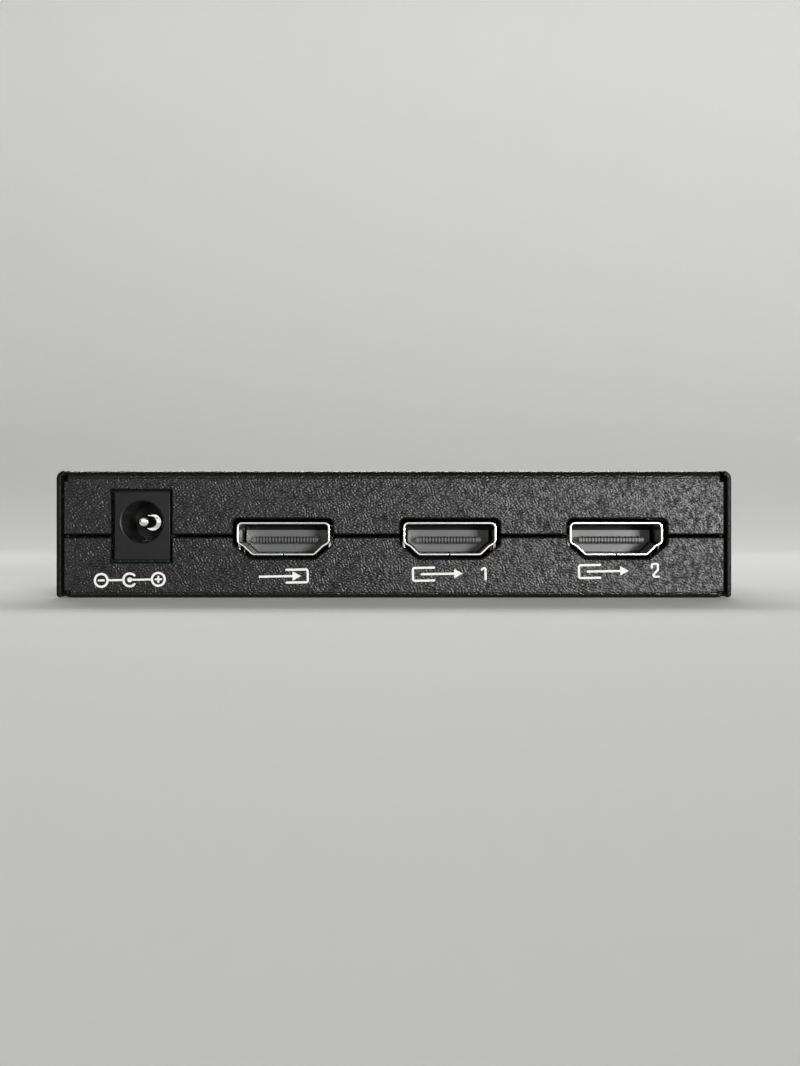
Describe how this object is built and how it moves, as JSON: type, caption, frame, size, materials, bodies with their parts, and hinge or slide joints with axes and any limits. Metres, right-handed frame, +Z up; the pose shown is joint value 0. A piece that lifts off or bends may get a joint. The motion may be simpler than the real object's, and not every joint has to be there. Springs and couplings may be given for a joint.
{
  "type": "video splitter",
  "caption": "Small black folded sheet-metal box that shares a video signal from its input socket among output sockets beside it, with a barrel power inlet and a circuit board inside.",
  "frame": {"origin": "middle of the underside, on the surface that the box rests on", "axes": "+X along the port face to the right as seen from the ports, +Y from the ports to the rear, +Z up"},
  "size_m": [0.106, 0.055, 0.02],
  "materials": {
    "coated_sheet": "black wrinkle powder coat",
    "black_screw": "black oxide on steel",
    "zinc_steel": "zinc plate",
    "bright_plate": "bright nickel plate over drawn sheet",
    "spring_strip": "nickel plate on spring bronze",
    "terminal_brass": "tinned brass",
    "inlet_plastic": "moulded, fine satin",
    "socket_plastic": "moulded, satin",
    "gold_contact": "thin gold plate",
    "board_green": "solder mask over glass laminate",
    "chip_black": "moulded epoxy",
    "tin_lead": "bright tin plate",
    "ferrite_grey": "pressed ferrite",
    "can_aluminium": "drawn can",
    "fired_ceramic": "fired ceramic",
    "lamp_lens": "clear tinted epoxy"
  },
  "bodies": {
    "splitter": {"top_cover": "coated_sheet", "bottom_tray": "coated_sheet", "cover_screws": "black_screw", "board_standoffs": "zinc_steel", "board_screws": "zinc_steel", "main_board": "board_green", "dc_jack_body": "inlet_plastic", "dc_jack_centre_pin": "bright_plate", "dc_jack_pin_terminal": "terminal_brass", "dc_jack_spring_terminal": "terminal_brass", "dc_jack_switch_contact": "terminal_brass", "input_shell": "bright_plate", "output_1_shell": "bright_plate", "output_2_shell": "bright_plate", "input_insulator": "socket_plastic", "output_1_insulator": "socket_plastic", "output_2_insulator": "socket_plastic", "input_contacts": "gold_contact", "output_1_contacts": "gold_contact", "output_2_contacts": "gold_contact", "splitter_chip": "chip_black", "splitter_chip_leads": "tin_lead", "memory_chip": "chip_black", "memory_chip_leads": "tin_lead", "regulator": "chip_black", "regulator_leads": "tin_lead", "power_inductor": "ferrite_grey", "bulk_capacitors": "can_aluminium", "capacitor_bases": "chip_black", "crystal": "can_aluminium", "ceramic_capacitors": "fired_ceramic", "chip_resistors": "chip_black", "surge_arrays": "chip_black", "status_led_lenses": "lamp_lens", "status_led_leads": "tin_lead"},
    "inlet_spring": {"dc_jack_spring": "spring_strip"}
  },
  "joints": [
    {"name": "inlet_spring_flex", "type": "hinge", "parent": "splitter", "child": "inlet_spring", "pos_m": [-0.0396, -0.016, 0.007], "axis": [1, 0, 0], "range_deg": [0, 5], "stiffness_Nm_per_rad": 0.2}
  ]
}
